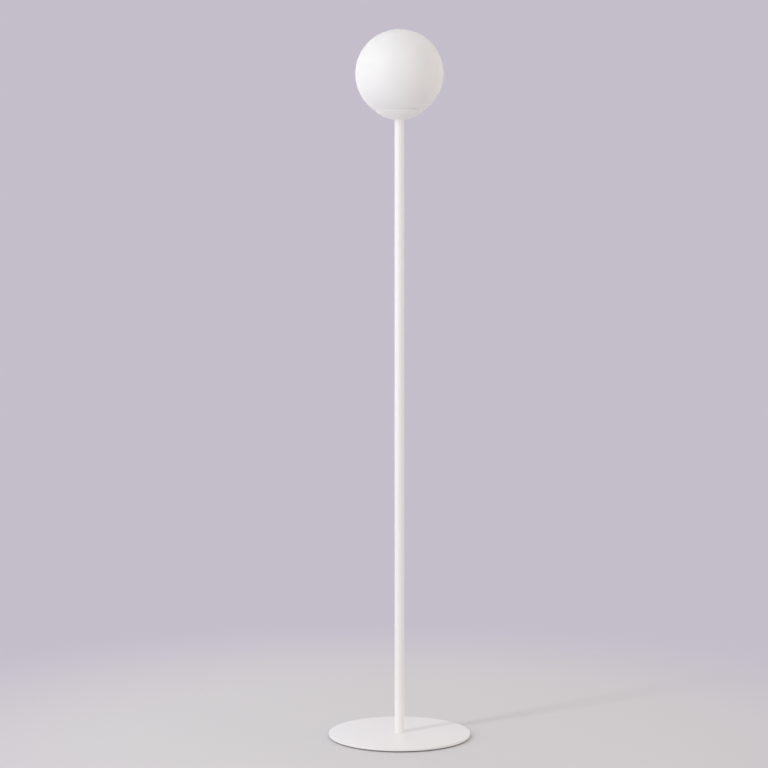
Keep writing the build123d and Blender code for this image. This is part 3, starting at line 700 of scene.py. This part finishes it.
def screw_shell():
    """Pressed shell of the lampholder, with the bulb's thread rolled into its wall."""
    bottom, top, crest = size_of("screw_shell")
    flange, wall = 9.8 * MM, 0.4 * MM
    outer = crest - THREAD_DEPTH
    inner = outer - wall
    foot_round, inner_round, lip = 0.3 * MM, 0.2 * MM, 0.1 * MM
    thread_bottom, thread_top = bottom + 1.5 * MM, top - 0.5 * MM
    profile = [
        (flange, bottom),
        (outer - foot_round, bottom),
        (outer, bottom + foot_round),
        *thread(outer, thread_bottom, thread_top),
        (outer, top - lip),
        (outer - lip, top),
        (inner + lip, top),
        (inner, top - lip),
        *reversed(thread(inner, thread_bottom, thread_top)),
        (inner, bottom + wall + inner_round),
        (inner - inner_round, bottom + wall),
        (flange, bottom + wall),
    ]
    turned(
        "holder_shell", profile, "stand", NICKEL, "screw_shell",
        sides=THREAD_SIDES, sharp=THREAD_SHARP,
    )


# ---------------------------------------------------------------- bulb
def bulb_contact():
    """Solder-tinned contact with a slight dome."""
    bottom, top, radius = size_of("bulb_contact")
    dome_height = 0.6 * MM
    profile = [
        *reversed(dome(radius, bottom + dome_height, bottom)),
        (radius, top),
        (0, top),
    ]
    turned(
        "bulb_tip", profile, "bulb_lift", SOLDER, "bulb_contact", sides=SMALL_SIDES
    )


def bulb_insulator():
    """Flared glass insulator with a straight band at its top."""
    bottom, top, radius = size_of("bulb_insulator")
    foot, band, flare = 5.6 * MM, 0.8 * MM, 0.25 * MM
    profile = [
        (0, bottom),
        *bow((foot, bottom), (radius, top - band), -flare, steps=6),
        (radius, top),
        (0, top),
    ]
    turned(
        "bulb_vitrite", rounded(profile, 0.3 * MM), "bulb",
        VITRITE, "bulb_insulator",
    )


def bulb_shell():
    """Rolled screw shell of the bulb, closed at the foot, with a plain collar at the top."""
    bottom, top, collar = size_of("bulb_shell")
    crest, wall = 12.9 * MM, 0.35 * MM
    outer = crest - THREAD_DEPTH
    inner = outer - wall
    collar_z, collar_round = top - 1.5 * MM, 0.2 * MM
    shoulder = 0.3 * MM
    foot_round, inner_round = 0.9 * MM, 0.5 * MM
    foot_middle = (outer - 0.3 * MM, bottom + 0.25 * MM)
    thread_bottom, thread_top = bottom + 1.2 * MM, collar_z - shoulder
    profile = [
        (0, bottom),
        (outer - foot_round, bottom),
        foot_middle,
        (outer, bottom + foot_round),
        *thread(outer, thread_bottom, thread_top),
        (collar - collar_round, collar_z),
        (collar, collar_z + collar_round),
        (collar, top),
        (collar - wall, top),
        (collar - wall, collar_z + shoulder),
        *reversed(thread(inner, thread_bottom, thread_top)),
        (inner - inner_round, bottom + wall),
        (0, bottom + wall),
    ]
    turned(
        "bulb_screw", profile, "bulb", NICKEL, "bulb_shell",
        sides=THREAD_SIDES, sharp=THREAD_SHARP,
    )


def bulb_housing():
    """Tapered plastic body between the shell and the dome."""
    bottom, top, rim = size_of("bulb_housing")
    _, foot_z, _ = size_of("bulb_shell")
    board_z, _, board_radius = size_of("led_board")
    spigot, foot = 12 * MM, 14.2 * MM
    bore = spigot - 1.6 * MM
    board_seat = board_radius + 0.05 * MM
    ledge = board_seat - 1.2 * MM
    bulge = 2.4 * MM
    profile = [
        (bore, bottom),
        (spigot, bottom),
        (spigot, foot_z),
        *bow((foot, foot_z), (rim, top), bulge, steps=16),
        (board_seat, top),
        (board_seat, board_z),
        *bow((ledge, board_z), (bore, foot_z), -bulge, steps=12),
    ]
    turned(
        "bulb_body", rounded(profile, 0.3 * MM), "bulb",
        BULB_WHITE, "bulb_housing", sides=FINE_SIDES,
    )


def bulb_dome():
    """Thin diffusing dome over the bulb's board."""
    wall = 1.2 * MM
    turned(
        "bulb_diffuser", cut_ball("bulb_dome", wall, steps=40), "bulb",
        FROSTED, "bulb_dome", sides=FINE_SIDES,
    )


base_plate()
base_pads()
cup()
globe()
globe_seat()
rivets()
lampholder_cap()
lampholder_sleeve()
screw_shell()
bulb_contact()
bulb_insulator()
bulb_shell()
bulb_housing()
bulb_dome()

# Each CAD node that keeps its shape, its finish, and how wide its broken edges are.
for kept_node, finish, edge_width in (
    ("pole", COAT, 0),
    ("base_screw", ZINC, 0.15 * MM),
    ("pole_foot_plug", ZINC, 0),
    ("pole_top_plug", ZINC, 0),
    ("nipple", ZINC, 0.15 * MM),
    ("cord_bush", BUSH_WHITE, 0),
    ("clip_bracket", ZINC, 0.12 * MM),
    ("toothed_washer", ZINC, 0.1 * MM),
    ("cup_nut", BRASS, 0.25 * MM),
    ("globe_clips", SPRING, 0.1 * MM),
    ("thread_insert", ZINC, 0.15 * MM),
    ("terminal_block", BLOCK_CREAM, 0.2 * MM),
    ("terminals", BRASS, 0.15 * MM),
    ("terminal_screws", ZINC, 0.1 * MM),
    ("centre_contact", BRASS, 0.08 * MM),
    ("inner_lead", insulation("lead_sheath", (0.80, 0.80, 0.79)), 0),
    ("live_wire", insulation("brown_sheath", (0.16, 0.07, 0.03)), 0),
    ("neutral_wire", insulation("blue_sheath", (0.03, 0.12, 0.40)), 0),
    ("earth_wire", earth_insulation(), 0),
    ("led_board", board_white(), 0.1 * MM),
    ("bulb_driver", circuit_green(), 0.1 * MM),
):
    carried_over(kept_node, finish, edge_width)


# ---------------------------------------------------------------- stage
BACKDROP = (0.555, 0.515, 0.60)
FLOOR = (0.705, 0.695, 0.712)
FLOOR_SIZE = 12.0
FLOOR_PLAIN_REACH = 0.55
FLOOR_FADE_REACH = 1.6

SKY = (1.0, 0.985, 0.965)
SKY_STRENGTH = 0.685
LAMP_MIDDLE = (0, 0, 0.9)
LAMP_LOWER_MIDDLE = (0, 0, 0.6)


def seen_directly(nodes, links):
    """1 for rays from the camera, in a mirror or through glass; 0 for light on surfaces."""
    path = nodes.new("ShaderNodeLightPath").outputs
    direct = combined(nodes, links, "MAXIMUM", path["Is Camera Ray"], path["Is Glossy Ray"])
    return combined(nodes, links, "MAXIMUM", direct, path["Is Transmission Ray"])


def mixed_output(nodes, links, share, first, second, output_kind):
    """Leads a mix of two shaders to the output."""
    mix = nodes.new("ShaderNodeMixShader")
    output = nodes.new(output_kind)
    links.new(share, mix.inputs["Fac"])
    links.new(first, mix.inputs[1])
    links.new(second, mix.inputs[2])
    links.new(mix.outputs["Shader"], output.inputs["Surface"])


def floor_material():
    """Pale floor that fades into the backdrop's colour away from the lamp."""
    material = bpy.data.materials.new("studio_floor")
    material.use_nodes = True
    nodes, links = material.node_tree.nodes, material.node_tree.links
    nodes.clear()
    matt = nodes.new("ShaderNodeBsdfDiffuse")
    matt.inputs["Color"].default_value = (*FLOOR, 1)
    far = nodes.new("ShaderNodeEmission")
    far.inputs["Color"].default_value = (*BACKDROP, 1)
    place = nodes.new("ShaderNodeTexCoord")
    reach = nodes.new("ShaderNodeVectorMath")
    reach.operation = "LENGTH"
    links.new(place.outputs["Object"], reach.inputs[0])
    fade = nodes.new("ShaderNodeMapRange")
    fade.interpolation_type = "SMOOTHSTEP"
    fade.inputs["From Min"].default_value = FLOOR_PLAIN_REACH
    fade.inputs["From Max"].default_value = FLOOR_FADE_REACH
    links.new(reach.outputs["Value"], fade.inputs["Value"])
    direct = seen_directly(nodes, links)
    share = combined(nodes, links, "MULTIPLY", fade.outputs["Result"], direct)
    mixed_output(
        nodes, links, share, matt.outputs["BSDF"], far.outputs["Emission"],
        "ShaderNodeOutputMaterial",
    )
    return material


def studio_floor():
    """A plain level floor under the lamp."""
    mesh = bmesh.new()
    bmesh.ops.create_grid(mesh, x_segments=1, y_segments=1, size=FLOOR_SIZE / 2)
    data = bpy.data.meshes.new("studio_floor")
    mesh.to_mesh(data)
    mesh.free()
    data.materials.append(floor_material())
    made = bpy.data.objects.new("studio_floor", data)
    bpy.context.scene.collection.objects.link(made)


def background(nodes, colour, strength):
    """The output of a background of one colour."""
    light = nodes.new("ShaderNodeBackground")
    light.inputs["Color"].default_value = (*colour, 1)
    light.inputs["Strength"].default_value = strength
    return light.outputs["Background"]


def world():
    """Even light from all round, and the backdrop's colour where it is seen."""
    sky = bpy.data.worlds.new("studio")
    bpy.context.scene.world = sky
    sky.use_nodes = True
    nodes, links = sky.node_tree.nodes, sky.node_tree.links
    nodes.clear()
    light = background(nodes, SKY, SKY_STRENGTH)
    shown = background(nodes, BACKDROP, 1.0)
    direct = seen_directly(nodes, links)
    mixed_output(nodes, links, direct, light, shown, "ShaderNodeOutputWorld")


def area_light(name, place, target, size, watts, colour):
    """A soft panel at a place, facing a target."""
    data = bpy.data.lights.new(name, "AREA")
    data.shape = "RECTANGLE"
    data.size, data.size_y = size
    data.energy = watts
    data.color = colour
    made = bpy.data.objects.new(name, data)
    made.location = place
    made.rotation_euler = (Vector(target) - Vector(place)).to_track_quat("-Z", "Y").to_euler()
    bpy.context.scene.collection.objects.link(made)


def lights():
    """A narrow key in front on the left, a small one above it, and wide panels right and behind."""
    area_light("key", (-2.75, -2.1, 1.2), LAMP_MIDDLE, (0.4, 1.8), 33, (0.97, 0.97, 1.0))
    area_light(
        "key_high", (-1.95, -1.49, 2.9), LAMP_LOWER_MIDDLE, (0.35, 0.8), 13, (0.97, 0.97, 1.0)
    )
    area_light("warm_side", (3.2, -0.6, 1.2), LAMP_MIDDLE, (2.2, 2.6), 17, (1.0, 0.76, 0.62))
    area_light("cool_back", (-1.6, 3.2, 1.4), LAMP_MIDDLE, (2.4, 2.6), 27, (0.80, 0.78, 1.0))


def camera():
    """Level camera a little over halfway up the lamp, which keeps its verticals true."""
    eye = (-0.0351, -3.989, 0.9306)
    frame_pixels = 768
    focal_pixels = 1760
    horizon_row = 325
    data = bpy.data.cameras.new("camera")
    data.sensor_width = 36
    data.lens = data.sensor_width * focal_pixels / frame_pixels
    data.shift_y = (horizon_row - frame_pixels / 2) / frame_pixels
    made = bpy.data.objects.new("camera", data)
    made.location = eye
    made.rotation_euler = (radians(90), 0, 0)
    bpy.context.scene.collection.objects.link(made)
    bpy.context.scene.camera = made


studio_floor()
world()
lights()
camera()
bpy.context.scene.view_settings.view_transform = "Standard"
